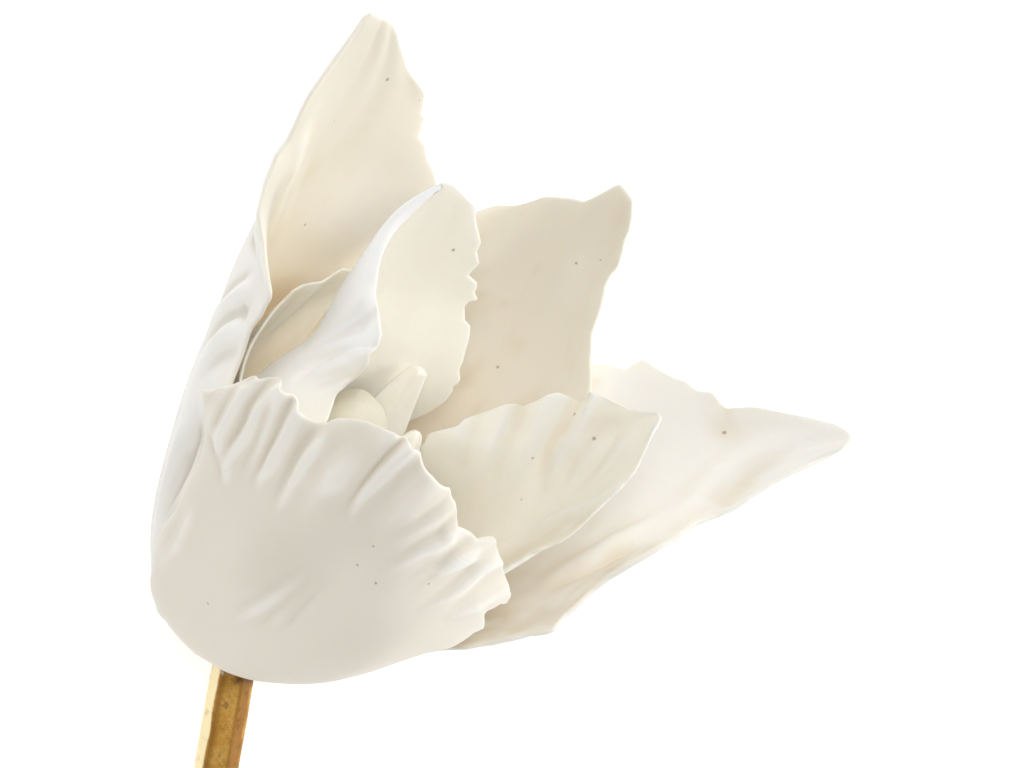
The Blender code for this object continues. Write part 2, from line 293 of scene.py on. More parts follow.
def alongRail(rail, share):
    # Smooth curve through a rail's points, share from 0 at its start to 1 at its end
    rail = np.asarray(rail, float)
    last = len(rail) - 1
    whole = np.clip((share * last).astype(int), 0, last - 1)
    step = (share * last - whole)[..., None]
    longer = np.vstack([2 * rail[0] - rail[1], rail, 2 * rail[-1] - rail[-2]])
    before, start, end, after = longer[whole], longer[whole + 1], longer[whole + 2], longer[whole + 3]
    bend = 2 * before - 5 * start + 4 * end - after
    twist = 3 * start - before - 3 * end + after
    return start + 0.5 * step * ((end - before) + step * (bend + step * twist))


def wander(seed, count, share):
    # Smooth random line between about -1 and 1
    rail = np.random.default_rng(seed).uniform(-1, 1, (count + 1, 1))
    return alongRail(rail, np.clip(share, 0, 1))[..., 0]


def edgeLine(points, share):
    # A margin as places along it, straight from point to point
    return np.interp(share, [point[0] for point in points], [point[1] for point in points])


def tornLine(seed, share, length):
    # How far a torn margin steps back, in mm: slow bays, and small chips that come in clusters
    slow = wander(seed, max(2, round(length / tear["bay"])), share)
    middle = wander(seed + 1, max(4, round(length / tear["notch"])), share)
    fine = wander(seed + 2, max(8, round(length / tear["chip"])), share)
    cluster = wander(seed + 3, max(2, round(length / tear["cluster"])), share)
    cluster = np.clip(cluster + tear["clusterShift"], 0, 1)
    chips = tear["chipDepth"] * cluster * np.clip(fine - tear["chipStart"], 0, 1)
    return tear["bayDepth"] * slow + tear["notchDepth"] * middle + chips


def sheetPoint(look, up, across):
    left = alongRail(look["left"], up)
    rib = alongRail(look["rib"], up)
    right = alongRail(look["right"], up)
    fold = look["fold"]
    bend = (np.hypot(across, fold) - fold) / (math.hypot(1, fold) - fold)
    return rib + across[..., None] * (right - left) / 2 + bend[..., None] * ((left + right) / 2 - rib)


def unit(vectors):
    return vectors / (np.linalg.norm(vectors, axis=2, keepdims=True) + 1e-9)


def sheetNormals(look, up, across):
    # Normals of the smooth sheet, whatever way its torn margins cut the grid
    step = sheet["normalStep"]
    above = np.clip(up + step, 0, sheet["upLimit"])
    below = np.clip(up - step, 0, sheet["upLimit"])
    sideways = sheetPoint(look, up, across + step) - sheetPoint(look, up, across - step)
    upward = sheetPoint(look, above, across) - sheetPoint(look, below, across)
    return unit(np.cross(sideways, upward))


def softened(field, rounds):
    # Blurs a grid of values by taking the mean with the neighbours again and again
    for step in range(rounds):
        wide = np.pad(field, 1, mode="edge")
        total = wide[1:-1, 1:-1] * 2 + wide[:-2, 1:-1] + wide[2:, 1:-1] + wide[1:-1, :-2] + wide[1:-1, 2:]
        field = total / 6
    return field


def gridNormals(points):
    # Normals of the finished grid, evened out with their neighbours'
    normal = unit(np.cross(np.gradient(points, axis=1), np.gradient(points, axis=0)))
    return unit(np.stack([softened(normal[..., axis], sheet["normalRounds"]) for axis in range(3)], -1))


def chordAt(look, up):
    # How wide the petal is at each height, margin to margin
    return np.linalg.norm(alongRail(look["right"], up) - alongRail(look["left"], up), axis=-1)


def leaningProfile(flat, line, nearest, distance):
    # Narrow pleats lean: steep with a furrow on the left, gentle on the right
    towards = np.gradient(line, axis=0)[nearest]
    away = flat - line[nearest]
    leftward = towards[..., 0] * away[..., 1] - towards[..., 1] * away[..., 0] > 0
    furrow = np.exp(-((distance - pleat["furrowAway"]) / pleat["furrowBreadth"]) ** 2)
    steep = np.exp(-(distance / pleat["steepBreadth"]) ** pleat["leanPower"]) - pleat["furrowDepth"] * furrow
    gentle = np.exp(-(distance / pleat["gentleBreadth"]) ** pleat["leanPower"])
    return np.where(distance < 1e-9, 1, np.where(leftward, steep, gentle))


def pleatHeights(look, up, across, chord):
    # Each pleat: its crest as (up, across) places from the margin down, its breadth and its height in mm
    length = look["length"]
    flat = np.stack([up * length, across * chord / 2], -1)
    total = np.zeros_like(up)
    share = np.linspace(0, 1, pleat["samples"])
    runOn = pleat["runOn"]
    for path, breadth, height in look["pleats"]:
        places = np.array(path)
        knots = np.stack([places[:, 0] * length, places[:, 1] * chordAt(look, places[:, 0]) / 2], -1)
        line = alongRail(knots, share)
        step = share
        fade = np.clip((1 - step) * pleat["fadeRate"], 0, 1) ** pleat["fadePower"]
        firstUp, firstAcross = path[0]
        if firstUp < pleat["insideUp"] and abs(firstAcross) < pleat["insideAcross"]:
            fade = fade * np.clip(pleat["startHeight"] + step * pleat["startRate"], 0, 1)
        else:
            # A crest that starts at the margin runs on past it
            line = np.vstack([2 * line[0] - line[runOn - 1::-1], line])
            step = np.concatenate([np.zeros(runOn), step])
            fade = np.concatenate([np.full(runOn, fade[0]), fade])
        distance = ((flat[:, :, None, :] - line) ** 2).sum(-1)
        nearest = distance.argmin(axis=2)
        reach = breadth * (pleat["startBreadth"] - pleat["breadthLoss"] * step[nearest])
        distance = np.sqrt(distance.min(axis=2)) / reach
        if breadth < pleat["leanBelow"]:
            profile = leaningProfile(flat, line, nearest, distance)
        else:
            profile = np.exp(-distance ** 2)
        total += height * look.get("pleatShare", 1) * profile * fade[nearest]
    for upMiddle, acrossMiddle, upSpread, acrossSpread, height in look.get("swells", []):
        upAway = ((up - upMiddle) / upSpread) ** 2
        acrossAway = ((across - acrossMiddle) / acrossSpread) ** 2
        total += height * np.exp(-upAway - acrossAway)
    return total


def sheetPoints(look, up, across):
    # The finished middle of a petal: its smooth sheet, torn margins, pleats, ruffles and soft dents.
    # Each random line has a seed of its own, counted on from the petal's
    seed = look["seed"]
    tornLeft, tornRight, tornTop = look["torn"]
    uncut = [(0, 0)]
    chord = chordAt(look, up)
    length = look["length"]
    topWidth = chord[-1].max() * sheet["topSlack"]
    topTorn = tornTop * tornLine(seed, (across + 1) / 2, topWidth) / length
    topCut = edgeLine(look.get("topEdge", uncut), across) + topTorn * min(1, topWidth / sheet["chipWidth"])
    upCut = np.clip(up * (1 - topCut * up ** sheet["cutPower"]), 0, sheet["upLimit"])
    sideWidth = chord / 2 + sheet["sideSlack"]
    leftCut = edgeLine(look.get("leftEdge", uncut), up)
    leftCut = leftCut + tornLeft * tornLine(seed + 10, up, length) / sideWidth
    rightCut = edgeLine(look.get("rightEdge", uncut), up)
    rightCut = rightCut + tornRight * tornLine(seed + 20, up, length) / sideWidth
    sideCut = np.where(across < 0, leftCut, rightCut) * np.clip(sheet["cutGrowth"] * up, 0, 1)
    acrossCut = across * (1 - sideCut * np.abs(across) ** sheet["cutPower"])
    points = sheetPoint(look, upCut, acrossCut)
    normal = sheetNormals(look, upCut, acrossCut)
    calm = np.clip(chord / sheet["calmWidth"], 0, 1)

    near = np.abs(acrossCut) ** sheet["sideRufflePower"] * np.clip(sheet["ruffleGrowth"] * upCut, 0, 1)
    leftRuffle = wander(seed + 31, look["ruffles"], upCut)
    rightRuffle = wander(seed + 32, look["ruffles"], upCut)
    ruffle = np.where(acrossCut < 0, leftRuffle, rightRuffle)
    topRuffle = wander(seed + 33, look["ruffles"], (acrossCut + 1) / 2)
    topRuffle = topRuffle * upCut ** sheet["topRufflePower"] * min(1, topWidth / sheet["ruffleWidth"])
    upWaves, acrossWaves = sheet["dentWaves"]
    riseWaves, fallWaves = sheet["slantWaves"]
    dents = wander(seed + 34, upWaves, upCut) * wander(seed + 35, acrossWaves, (acrossCut + 1) / 2)
    slant = wander(seed + 36, riseWaves, (upCut + acrossCut) / 2 + 0.25)
    slant = slant * wander(seed + 37, fallWaves, (upCut - acrossCut) / 2 + 0.5)
    dents = dents + sheet["slantShare"] * slant

    pleats = pleatHeights(look, upCut, acrossCut, chordAt(look, upCut))
    lift = pleats + look["ruffleDepth"] * (ruffle * near + topRuffle)
    lift += look["dents"] * dents * np.clip(sheet["dentGrowth"] * upCut, 0, 1)
    return points + normal * (lift * calm * look["outward"])[..., None], chord, pleats * look["outward"]


def washed(look, key, up, across):
    # Soft patches of painted shade (the tan and grey washes) and painted light (the white wash): place,
    # spread and strength of each
    total = np.zeros_like(up)
    for upMiddle, acrossMiddle, upSpread, acrossSpread, strength in look.get(key, []):
        reach = np.sqrt(((up - upMiddle) / upSpread) ** 2 + ((across - acrossMiddle) / acrossSpread) ** 2)
        total += strength * np.exp(-reach ** sheet["washPower"])
    return np.clip(total, 0, 1)


def startPetal(name, rows, columns):
    # Two flat grids, one over the other and joined all round; z tells them apart
    builder = bmesh.new()
    bmesh.ops.create_grid(builder, x_segments=columns, y_segments=rows, size=1)
    doubled = bmesh.ops.extrude_face_region(builder, geom=builder.faces[:], use_keep_orig=True)
    for item in doubled["geom"]:
        if isinstance(item, bmesh.types.BMVert):
            item.co.z = 1
    bmesh.ops.recalc_face_normals(builder, faces=builder.faces)
    mesh = bpy.data.meshes.new(name)
    builder.to_mesh(mesh)
    builder.free()
    flat = np.zeros(len(mesh.vertices) * 3)
    mesh.vertices.foreach_get("co", flat)
    return mesh, flat.reshape(-1, 3)


def showPiece(mesh, name, node):
    made = bpy.data.objects.new(name, mesh)
    bpy.context.scene.collection.objects.link(made)
    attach(made, "root")
    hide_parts(node)
    print("made", node, len(mesh.polygons), "faces")


def keepField(mesh, name, values):
    # One value for each point, which a material reads by its name
    mesh.attributes.new(name, "FLOAT", "POINT").data.foreach_set("value", values)


sheets = []


def makePetal(name, look):
    rows, columns = look["rows"], look["columns"]
    mesh, flat = startPetal(name, rows, columns)
    column = np.rint((flat[:, 0] + 1) / 2 * columns).astype(int)
    row = np.rint((flat[:, 1] + 1) / 2 * rows).astype(int)
    second = flat[:, 2] > 0.5

    # Rows and columns crowd towards the margins, where the sheet is thin and torn
    evenUp = np.linspace(0, 1, rows + 1)
    evenAcross = np.linspace(-1, 1, columns + 1)
    up, across = np.meshgrid(
        sheet["even"] * evenUp + sheet["crowded"] * np.sin(evenUp * math.pi / 2),
        sheet["even"] * evenAcross + sheet["crowded"] * np.sin(evenAcross * math.pi / 2), indexing="ij")
    length = np.linalg.norm(np.diff(alongRail(look["rib"], evenUp), axis=0), axis=1).sum()
    look["length"] = length
    points, chord, pleats = sheetPoints(look, up, across)
    normal = gridNormals(points)
    toMargin = np.minimum((1 - np.abs(across)) * chord / 2, (1 - up) * length)
    toMargin = np.minimum(toMargin, sheet["footMargin"] + up * length)
    inwards = 1 - np.exp(-toMargin / sheet["thinReach"])
    body = look["thin"] + (look["thick"] - look["thin"]) * inwards
    rounding = 1 - np.clip(toMargin / (sheet["roundReach"] * look["thin"]), 0, 1)
    half = body / 2 * (sheet["edgeLeast"] + sheet["edgeMore"] * np.sqrt(1 - rounding ** 2))

    side = np.where(second, 1.0, -1.0)
    local = points[row, column] + normal[row, column] * (half[row, column] * side)[:, None]
    turn = np.array(bloomPlace.to_3x3())
    foot = np.array(bloomPlace.translation)
    mesh.vertices.foreach_set("co", (local * mm @ turn.T + foot).ravel())
    keepField(mesh, "inside", (second == (look["outward"] < 0)).astype(float))
    keepField(mesh, "margin", np.exp(-toMargin[row, column] / sheet["marginReach"]))
    # Above 0 on crests and below 0 in valleys, as seen from each side
    crest = np.clip((pleats - softened(pleats, sheet["crestRounds"])) / sheet["crestHeight"], -1, 1)
    keepField(mesh, "crest", crest[row, column] * side)
    for tone in ("tan", "white", "grey"):
        keepField(mesh, tone, washed(look, tone + "Wash", up, across)[row, column])
    mesh.shade_smooth()
    mesh.update()

    sheets.append((mesh, points, normal, row, column, second))
    specks = []
    for speckUp, speckAcross, size in look["specks"]:
        rowNear = int(np.abs(up[:, 0] - speckUp).argmin())
        columnNear = int(np.abs(across[0] - speckAcross).argmin())
        spot = points[rowNear, columnNear] + half[rowNear, columnNear] * normal[rowNear, columnNear]
        specks.append((tuple(spot * mm @ turn.T + foot), size))
    mesh.materials.append(porcelain(name + "_porcelain", look, specks))
    showPiece(mesh, name + "_form", name)


frontPetal = {
    "left": [(-3.7, -6, -1.2), (-8, -7.2, 1.5), (-11.8, -8.3, 6), (-13.3, -10, 13), (-14.1, -12, 20.5),
             (-14, -14, 28.7), (-17, -15, 37)],
    "rib": [(0.4, -6.7, -0.6), (1.9, -10.2, 2.1), (5.3, -15, 8.4), (8, -20.5, 19), (9.5, -24, 34),
            (8.5, -24, 50.5)],
    "right": [(4.2, -4.6, -1.15), (9, -7, 3.1), (15.5, -8.6, 10.4), (21.8, -8.5, 16.5), (25.5, -8.5, 22.5),
              (25.5, -9.5, 30.5)],
    "outsideTone": (0.85, 0.8, 0.7, 1), "insideTone": (0.92, 0.89, 0.8, 1), "paintedShadeShare": 0.8,
    "fold": 2.0, "outward": 1, "rows": 180, "columns": 200, "seed": 11,
    "thick": 1.2, "thin": 0.6, "torn": (0.1, 0.5, 0.4), "ruffles": 9, "ruffleDepth": 0.45, "dents": 0.5,
    "topEdge": [
        (-1, 0.002), (-0.968, 0.003), (-0.921, -0.01), (-0.883, -0.014), (-0.817, -0.034),
        (-0.782, -0.027), (-0.755, -0.031), (-0.682, -0.023), (-0.535, 0.034), (-0.489, 0.039),
        (-0.404, 0.019), (-0.303, 0.008), (0.033, 0.01), (0.071, 0.022), (0.133, 0.031), (0.195, 0.037),
        (0.272, 0.034), (0.315, 0.044), (0.355, 0.044), (0.385, 0.05), (0.425, 0.072), (0.593, 0.053),
        (0.693, 0.01), (0.713, 0.02), (0.755, 0.024), (0.832, 0.016), (0.991, 0.019), (1, 0.01)],
    "rightEdge": [
        (0, 0), (0.76, 0), (0.8, -0.04), (0.825, 0), (0.845, 0.06), (0.864, 0.07), (0.975, -0.07),
        (0.998, -0.05), (1, -0.03)],
    "leftEdge": [
        (0.5, 0), (0.629, 0.04), (1, 0.01)],
    "pleatShare": 1.7, "valleyShadeScale": 0.5,
    "pleats": [
        ([(0.976, -0.906), (0.939, -0.937), (0.902, -0.937), (0.87, -0.91), (0.836, -0.883)], 0.6, 0.3),
        ([(0.963, -0.844), (0.921, -0.875), (0.892, -0.89), (0.851, -0.867), (0.819, -0.832),
          (0.78, -0.786)], 0.6, 0.5),
        ([(1.02, -0.674), (1.003, -0.705), (0.97, -0.736), (0.939, -0.751), (0.908, -0.774),
          (0.878, -0.805), (0.847, -0.821), (0.803, -0.805), (0.777, -0.782)], 0.7, 0.75),
        ([(0.992, -0.662), (0.956, -0.674), (0.925, -0.686), (0.893, -0.705), (0.858, -0.724),
          (0.822, -0.724)], 0.6, 0.5),
        ([(0.966, -0.585), (0.925, -0.605), (0.895, -0.624), (0.859, -0.643), (0.831, -0.659),
          (0.793, -0.643)], 0.65, 0.7),
        ([(0.958, -0.415), (0.929, -0.446), (0.898, -0.477), (0.873, -0.492), (0.845, -0.508),
          (0.805, -0.52), (0.783, -0.52)], 0.75, 0.7),
        ([(0.987, -0.149), (0.946, -0.211), (0.912, -0.28), (0.885, -0.33), (0.858, -0.373),
          (0.822, -0.388), (0.769, -0.373)], 1.8, 0.8),
        ([(0.985, -0.02), (0.962, -0.052), (0.935, -0.09), (0.91, -0.125), (0.883, -0.158),
          (0.856, -0.17), (0.83, -0.155)], 0.62, 0.75),
        ([(0.964, 0.218), (0.93, 0.129), (0.895, 0.087), (0.862, 0.037), (0.831, -0.025)], 1.5, 0.35),
        ([(0.952, 0.365), (0.922, 0.295), (0.887, 0.211), (0.851, 0.126), (0.822, 0.06)], 0.8, 0.3),
        ([(0.936, 0.465), (0.907, 0.396), (0.884, 0.357), (0.853, 0.272), (0.814, 0.195),
          (0.779, 0.118)], 0.8, 0.45),
        ([(0.963, 0.67), (0.922, 0.585), (0.89, 0.504), (0.854, 0.438), (0.83, 0.361),
          (0.793, 0.272)], 0.65, 0.4),
        ([(0.978, 0.759), (0.925, 0.635), (0.893, 0.547), (0.861, 0.469), (0.83, 0.419),
          (0.78, 0.357)], 0.6, 0.3),
        ([(0.992, 0.848), (0.922, 0.705), (0.871, 0.647), (0.827, 0.593), (0.79, 0.531),
          (0.749, 0.45)], 0.8, 0.45),
        ([(0.984, 1.018), (0.864, 0.836), (0.81, 0.747), (0.757, 0.655)], 1.2, 0.5),
        ([(0.45, -0.492), (0.527, -0.438), (0.587, -0.384), (0.64, -0.342), (0.688, -0.299),
          (0.725, -0.253), (0.765, -0.16)], 0.55, -0.13),
        ([(0.477, -0.396), (0.567, -0.33), (0.626, -0.288), (0.674, -0.249), (0.715, -0.207)], 0.8, 0.2),
        ([(0.519, -0.265), (0.579, -0.253), (0.618, -0.226)], 0.7, -0.08),
        ([(0.528, -0.218), (0.595, -0.207), (0.646, -0.183), (0.691, -0.16)], 0.8, 0.15),
        ([(0.547, -0.145), (0.593, -0.145), (0.654, -0.129), (0.695, -0.102), (0.745, -0.06)], 0.7, -0.1),
        ([(0.343, 0.261), (0.409, 0.195), (0.456, 0.18)], 0.3, -0.06),
        ([(0.701, -0.875), (0.655, -0.863), (0.579, -0.863), (0.519, -0.89), (0.46, -0.933),
          (0.399, -0.944)], 0.7, 0.35),
    ],
    "swells": [(0.95, -0.2, 0.05, 0.1, -0.8), (0.97, 0.1, 0.05, 0.1, 0.6), (0.62, -0.1, 0.2, 0.3, -0.7),
               (0.68, -0.62, 0.1, 0.16, 0.6),
               (0.74, 0.22, 0.08, 0.2, 0.5)],
    "greyWash": [(0.68, -0.33, 0.14, 0.22, 0.25), (0.84, -0.1, 0.06, 0.2, 0.12),
                 (0.62, 0.35, 0.12, 0.25, 0.1)],
    "specks": [(0.46, -0.605, 0.14), (0.773, -0.017, 0.14), (0.772, 0.126, 0.16), (0.845, 0.41, 0.16),
               (0.819, 0.017, 0.1)],
}
makePetal("outer_petal_front", frontPetal)

rightPetal = {
    "left": [(2.8, 5.8, -2.8), (5.5, 10.5, 1), (8.5, 16, 8.5), (12, 21, 17), (18, 27.5, 27.5),
             (25, 33.5, 38.5),
             (36, 33, 41.5), (52, 30, 47.7)],
    "rib": [(5.4, 3.8, -3), (10, 6, 0.8), (15.5, 9.5, 7.5), (22, 14, 14), (28, 18, 22), (34, 22, 30),
            (42, 25, 38), (54.5, 28, 48.5)],
    "right": [(6.5, 0.4, -2.8), (11.5, 0, 2), (18, -2.5, 9.5), (25, -4.5, 16), (33, -4, 22), (38, 4, 31.5),
              (45.4, 16, 39.7), (53.7, 26, 46.7)],
    "outsideTone": (0.86, 0.84, 0.78, 1), "insideTone": (0.94, 0.925, 0.875, 1), "paintedShadeShare": 0.8,
    "tanWash": [(0.8, 0.88, 0.03, 0.15, 0.3), (0.85, 0.62, 0.03, 0.22, 0.3), (0.9, 0.25, 0.03, 0.25, 0.2),
                (0.88, -0.5, 0.03, 0.25, 0.15)],
    "fold": 1.2, "outward": -1, "rows": 200, "columns": 140, "seed": 123,
    "thick": 1.2, "thin": 0.6, "torn": (0.8, 0.4, 0.1), "ruffles": 11, "ruffleDepth": 0.5, "dents": 0.4,
    "leftEdge": [
        (0.62, 0), (0.684, -0.06), (0.735, 0.02), (0.768, -0.08), (0.82, -0.05), (0.837, -0.06),
        (0.851, 0), (0.874, -0.03), (0.877, 0.09), (0.884, 0.13), (0.918, 0.01), (0.949, 0),
        (0.966, -0.06), (0.978, -0.08), (1, -0.06)],
    "rightEdge": [
        (0.43, 0), (0.49, 0.07), (0.541, 0.1), (0.575, 0.04), (0.587, 0.04), (0.603, 0.12), (0.65, 0.18),
        (0.681, 0.16), (0.751, 0.01), (0.777, 0), (0.81, 0.07), (0.828, 0.06), (0.841, 0.02),
        (0.87, -0.03), (0.913, 0), (1, 0)],
    "pleatShare": 1.3,
    "pleats": [
        ([(0.77, 0.78), (0.802, 0.674), (0.844, 0.384), (0.867, 0.172), (0.905, -0.091), (0.938, -0.218),
          (0.975, -0.26)], 1.6, -0.8),
        ([(0.8, 0.88), (0.85, 0.75), (0.885, 0.535), (0.92, 0.35), (0.95, 0.2)], 2.0, 0.8),
        ([(0.808, 0.396), (0.745, 0.531), (0.678, 0.469), (0.603, 0.419), (0.53, 0.458)], 1.5, -0.5),
        ([(0.757, 0.85), (0.7, 0.66), (0.661, 0.605), (0.6, 0.55), (0.548, 0.547)], 1.3, 0.6),
        ([(0.98, -0.5), (0.8, -0.45), (0.6, -0.4), (0.3, -0.35)], 3.0, 0.3),
    ],
    "swells": [(0.875, -0.6, 0.035, 0.3, 0.8)],
    "specks": [(0.871, -0.52, 0.24)],
}
makePetal("outer_petal_right", rightPetal)

tallPetal = {
    "left": [(-6.4, -0.8, -2.8), (-9.8, -4.8, 1), (-11, -8.5, 10), (-10.8, -11.2, 22), (-13.6, -13.5, 35),
             (-15.8, -10.5, 50), (-22, 2, 58), (-21, 19, 72.5)],
    "rib": [(-6.4, 1.8, -3), (-11, 2.5, 0.8), (-15.4, 4, 10), (-18.8, 7, 24), (-19.7, 9.5, 38),
            (-19.5, 12.5, 50), (-18.3, 17.5, 62), (-19, 21, 73.5)],
    "right": [(-4.8, 4.8, -2.8), (-8, 9.5, 1), (-10, 16, 9), (-10, 25, 22), (-7.5, 31.2, 35),
              (-4.5, 32, 49),
              (-10.5, 30, 60), (-17.2, 23, 73)],
    "outsideTone": (0.9, 0.88, 0.825, 1), "insideTone": (0.815, 0.765, 0.645, 1), "paintedShadeShare": 0.7,
    "tanWash": [(0.42, 0.5, 0.165, 1.6, 1.3)],
    "whiteWash": [(0.8, -0.85, 0.22, 0.6, 0.15), (0.69, 0.72, 0.07, 0.4, 0.8)],
    "greyWash": [(0.48, -0.88, 0.05, 0.1, 0.5), (0.42, -0.86, 0.05, 0.11, 0.6),
                 (0.35, -0.84, 0.06, 0.12, 0.6)],
    "fold": 2.0, "outward": -1, "rows": 210, "columns": 150, "seed": 237,
    "thick": 1.2, "thin": 0.6, "torn": (0.3, 0.5, 0.2), "ruffles": 12, "ruffleDepth": 0.4, "dents": 0.4,
    "topEdge": [
        (-1, -0.001), (-0.689, -0.003), (0.504, 0.017), (1, 0.04)],
    "rightEdge": [
        (0.66, 0), (0.7, -0.03), (0.731, -0.03), (0.785, 0.05), (0.805, 0.04), (0.816, 0.08),
        (0.844, 0.01), (0.854, -0.04), (0.861, -0.01), (0.905, -0.12), (0.916, -0.08), (0.939, 0.12),
        (0.955, 0.2), (0.983, 0.45), (1, 0.5)],
    "leftEdge": [
        (0.58, 0), (0.672, 0), (0.712, -0.09), (0.745, -0.2), (0.757, -0.18), (0.77, -0.11),
        (0.777, -0.04), (0.819, -0.09), (0.829, -0.01), (0.839, 0), (0.854, 0.08), (0.862, 0.07),
        (0.866, 0.17), (0.87, 0.19), (0.892, 0.14), (0.929, 0), (1, 0)],
    "pleatShare": 1.15,
    "pleats": [
        ([(0.72, -0.9), (0.692, -0.778), (0.646, -0.593), (0.599, -0.408), (0.555, -0.253),
          (0.533, -0.234)], 0.9, -0.5),
        ([(0.715, -0.92), (0.688, -0.836), (0.655, -0.713), (0.615, -0.581), (0.555, -0.369)], 1.2, 0.5),
        ([(0.68, -0.925), (0.667, -0.886), (0.627, -0.732), (0.593, -0.632), (0.555, -0.523),
          (0.508, -0.384)], 0.9, -0.5),
        ([(0.665, -0.92), (0.652, -0.875), (0.62, -0.774), (0.586, -0.689), (0.547, -0.593),
          (0.508, -0.5)], 1.2, 0.55),
        ([(0.712, -0.531), (0.725, -0.724), (0.739, -0.929)], 0.8, -0.4),
        ([(0.92, -0.8), (0.87, -0.64), (0.82, -0.46), (0.77, -0.27), (0.72, -0.13), (0.67, -0.02),
          (0.6, 0.06)], 1.5, -0.4),
        ([(0.8, -0.12), (0.752, 0.04), (0.705, 0.15), (0.666, 0.21), (0.627, 0.26),
          (0.59, 0.29)], 1.2, 0.2),
        ([(0.51, -0.83), (0.47, -0.8), (0.405, -0.755), (0.35, -0.73), (0.3, -0.71)], 0.9, -0.9),
        ([(0.48, -0.66), (0.43, -0.56), (0.37, -0.52), (0.32, -0.54), (0.28, -0.56)], 1.3, 0.55),
    ],
    "swells": [(0.27, -0.3, 0.09, 0.6, 0.3)],
    "specks": [(0.899, 0.462, 0.24), (0.647, 0.38, 0.2), (0.839, -0.064, 0.08), (0.888, 0.937, 0.08)],
}
makePetal("outer_petal_back_left", tallPetal)

backPetal = {
    "left": [(-3, 6, 2.4), (-6.5, 10.5, 10), (-8, 17.5, 20), (-8, 23, 32), (-4, 28.5, 42), (1.5, 33, 48.5)],
    "rib": [(0.5, 6.9, 2.2), (2, 13, 10), (4, 19.5, 21), (6, 25, 34), (8, 28.5, 46), (9.5, 31, 58.5)],
    "right": [(3.6, 5.8, 2.4), (11, 13, 11), (18.5, 19, 22), (23.5, 24, 35), (21, 27.5, 49),
              (17.5, 29, 62.5)],
    "outsideTone": (0.86, 0.84, 0.78, 1), "insideTone": (0.905, 0.855, 0.73, 1), "paintedShadeShare": 0.9,
    "tanWash": [(0.4, 0.0, 0.16, 0.8, 0.75)],
    "fold": 2.0, "outward": -1, "rows": 170, "columns": 150, "seed": 341,
    "thick": 1.1, "thin": 0.6, "torn": (0.3, 0.5, 0.4), "ruffles": 8, "ruffleDepth": 0.4, "dents": 0.4,
    "topEdge": [
        (-1, 0.02), (-0.817, 0.01), (-0.496, 0.037), (-0.392, 0.036), (-0.164, 0.019), (0.369, 0.027),
        (0.701, -0.017), (1, -0.001)],
    "rightEdge": [
        (0.6, 0), (0.649, -0.04), (0.742, 0.07), (0.786, 0.06), (0.83, 0.08), (0.851, 0.06),
        (0.871, 0.01), (0.921, 0.01), (0.946, -0.03), (0.975, -0.04), (1, -0.01)],
    "pleatShare": 1.2,
    "pleats": [
        ([(1, 0.86), (0.93, 0.84), (0.85, 0.86), (0.78, 0.88)], 3.0, 0.6),
        ([(1.0, 0.62), (0.92, 0.56), (0.84, 0.52), (0.76, 0.5), (0.66, 0.48)], 3.2, -0.5),
        ([(1, -0.3), (0.8, -0.2), (0.6, -0.1)], 3.0, -0.3),
    ],
    "specks": [(0.856, 0.577, 0.14), (0.623, 0.388, 0.16), (0.868, 0.802, 0.08)],
}
makePetal("inner_petal_back", backPetal)

